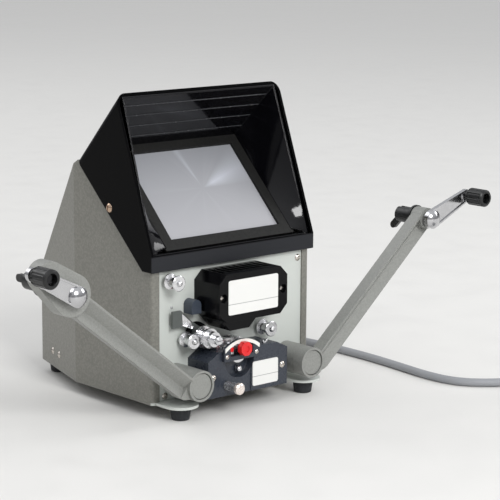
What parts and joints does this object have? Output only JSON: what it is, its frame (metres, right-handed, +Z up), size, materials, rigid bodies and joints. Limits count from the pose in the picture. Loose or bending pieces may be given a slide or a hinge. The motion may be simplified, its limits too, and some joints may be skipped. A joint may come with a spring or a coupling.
{
  "type": "8mm film editor viewer",
  "caption": "Table-top film viewer with hooded screen, sprocket drive, two folding reel arms with crank rewinds and a corded lamp.",
  "frame": {"origin": "middle of the object's box, without its cord, on the surface that its feet stand on", "axes": "+X right, +Y to the back, +Z up; the mechanism faces -Y and the reel arms spread along X"},
  "size_m": [0.4774, 0.4426, 0.2214],
  "materials": {
    "light_enamel": "satin",
    "foot_rubber": "matte",
    "hammer_grey": "hammered",
    "hood_black": "gloss",
    "liner_black": "matte",
    "screen_glass": "ground",
    "clear_plastic": "clear",
    "mirror": "polished",
    "plain_steel": "plain",
    "iron_core": "laminated",
    "pale_plastic": "matte",
    "lamp_black": "satin",
    "label_metal": "satin",
    "brass": "plain",
    "bulb_glass": "clear",
    "clear_glass": "clear",
    "gate_black": "satin",
    "white_strip": "gloss",
    "bright_chrome": "polished",
    "lens_black": "anodised",
    "arm_grey": "hammered",
    "screw_steel": "polished",
    "black_plastic": "gloss",
    "red_plastic": "gloss",
    "slate_plastic": "satin",
    "lever_grey": "satin",
    "grip_black": "satin",
    "spindle_black": "satin",
    "cord_grey": "matte"
  },
  "bodies": {
    "root": {"base_plate": "light_enamel", "rubber_feet": "foot_rubber", "case_shell": "hammer_grey", "front_panel": "light_enamel", "hood": "hood_black", "hood_liner": "liner_black", "screen_bezel": "liner_black", "screen_glass": "screen_glass", "fresnel_lens": "clear_plastic", "rear_mirror": "mirror", "mirror_bracket": "plain_steel", "transformer": "iron_core", "terminal_block": "pale_plastic", "lamp_house": "lamp_black", "label_plates": "label_metal", "lamp_socket": "brass", "lamp_bulb": "bulb_glass", "condenser_lens": "clear_glass", "gate_housing": "gate_black", "gate_plate": "gate_black", "gate_arc": "white_strip", "gate_ball": "bright_chrome", "film_shoe": "bright_chrome", "turning_mirror": "mirror", "lens_barrel": "lens_black", "projection_lens": "clear_glass", "roller_studs": "bright_chrome", "arm_pivots": "arm_grey", "panel_screws": "screw_steel", "housing_screws": "screw_steel", "hood_screws": "screw_steel", "switch_frame": "black_plastic", "cord_grommet": "cord_grey", "cord_lead": "cord_grey", "cord_coil": "cord_grey", "plug": "cord_grey"},
    "left_arm": {"left_arm": "arm_grey", "left_gear_cover": "arm_grey"},
    "left_crank": {"left_crank": "bright_chrome", "left_crank_gear": "brass"},
    "left_grip": {"left_crank_grip": "grip_black"},
    "left_spindle": {"left_spindle": "spindle_black"},
    "left_latch": {"left_latch": "spindle_black"},
    "right_arm": {"right_arm": "arm_grey"},
    "right_crank": {"right_crank": "bright_chrome", "right_spindle": "spindle_black"},
    "right_grip": {"right_crank_grip": "grip_black"},
    "right_latch": {"right_latch": "spindle_black"},
    "roller_upper": {"roller_upper": "bright_chrome"},
    "roller_left": {"roller_left": "bright_chrome"},
    "roller_right": {"roller_right": "bright_chrome"},
    "sprocket": {"sprocket": "bright_chrome", "sprocket_gear": "brass"},
    "prism": {"prism_shaft": "plain_steel", "optical_prism": "clear_glass"},
    "framing_lever": {"framing_lever": "lever_grey"},
    "focus_knob": {"focus_knob": "slate_plastic"},
    "format_knob": {"format_knob": "red_plastic"},
    "notcher": {"notcher_button": "bright_chrome"},
    "rocker": {"switch_rocker": "black_plastic"}
  },
  "joints": [
    {"name": "left_arm_swing", "type": "hinge", "parent": "root", "child": "left_arm", "pos_m": [-0.057, -0.0546, 0.0254], "axis": [0, 1, 0], "range_deg": [-18, 40]},
    {"name": "right_arm_swing", "type": "hinge", "parent": "root", "child": "right_arm", "pos_m": [0.047, -0.0546, 0.0254], "axis": [0, -1, 0], "range_deg": [-18, 37]},
    {"name": "left_crank_turn", "type": "hinge", "parent": "left_arm", "child": "left_crank", "pos_m": [-0.16492, -0.0546, 0.1035], "axis": [0, 1, 0], "continuous": true},
    {"name": "left_spindle_turn", "type": "hinge", "parent": "left_arm", "child": "left_spindle", "pos_m": [-0.17886, -0.0546, 0.11119], "axis": [0, 1, 0], "continuous": true},
    {"name": "left_grip_turn", "type": "hinge", "parent": "left_crank", "child": "left_grip", "pos_m": [-0.19911, -0.0546, 0.12226], "axis": [0, 1, 0], "continuous": true},
    {"name": "left_latch_fold", "type": "hinge", "parent": "left_spindle", "child": "left_latch", "pos_m": [-0.17886, -0.0575, 0.11119], "axis": [-1, 0, 0], "range_deg": [0, 90]},
    {"name": "right_crank_turn", "type": "hinge", "parent": "right_arm", "child": "right_crank", "pos_m": [0.16298, -0.0546, 0.11776], "axis": [0, 1, 0], "continuous": true},
    {"name": "right_grip_turn", "type": "hinge", "parent": "right_crank", "child": "right_grip", "pos_m": [0.19923, -0.0546, 0.13215], "axis": [0, 1, 0], "continuous": true},
    {"name": "right_latch_fold", "type": "hinge", "parent": "right_crank", "child": "right_latch", "pos_m": [0.16298, -0.0575, 0.11776], "axis": [-1, 0, 0], "range_deg": [-45, 45]},
    {"name": "roller_upper_turn", "type": "hinge", "parent": "root", "child": "roller_upper", "pos_m": [-0.064, -0.0546, 0.0954], "axis": [0, 1, 0], "continuous": true},
    {"name": "roller_left_turn", "type": "hinge", "parent": "root", "child": "roller_left", "pos_m": [-0.0505, -0.0546, 0.0528], "axis": [0, 1, 0], "continuous": true},
    {"name": "roller_right_turn", "type": "hinge", "parent": "root", "child": "roller_right", "pos_m": [0.021, -0.0546, 0.0513], "axis": [0, 1, 0], "continuous": true},
    {"name": "sprocket_turn", "type": "hinge", "parent": "root", "child": "sprocket", "pos_m": [-0.0388, -0.0546, 0.054], "axis": [0, 1, 0], "continuous": true},
    {"name": "prism_turn", "type": "hinge", "parent": "root", "child": "prism", "pos_m": [-0.017, -0.0546, 0.037], "axis": [0, 1, 0], "continuous": true},
    {"name": "framing_lever_tilt", "type": "hinge", "parent": "root", "child": "framing_lever", "pos_m": [-0.0388, -0.0546, 0.054], "axis": [0, 1, 0], "range_deg": [-10, 4]},
    {"name": "focus_knob_turn", "type": "hinge", "parent": "root", "child": "focus_knob", "pos_m": [-0.045, -0.0546, 0.0758], "axis": [0, 1, 0], "range_deg": [-12, 12]},
    {"name": "format_knob_turn", "type": "hinge", "parent": "root", "child": "format_knob", "pos_m": [-0.017, -0.0546, 0.0456], "axis": [0, 1, 0], "range_deg": [0, 90]},
    {"name": "notcher_press", "type": "slide", "parent": "root", "child": "notcher", "axis": [0, 1, 0], "range_m": [0, 0.005], "stiffness_N_per_m": 200},
    {"name": "rocker_tip", "type": "hinge", "parent": "root", "child": "rocker", "pos_m": [-0.035, 0.1043, 0.062], "axis": [0, 0, 1], "range_deg": [0, 24]}
  ],
  "couplings": [
    {"joint": "left_spindle_turn", "follows": "left_crank_turn", "ratio": -2},
    {"joint": "prism_turn", "follows": "sprocket_turn", "ratio": -2}
  ]
}
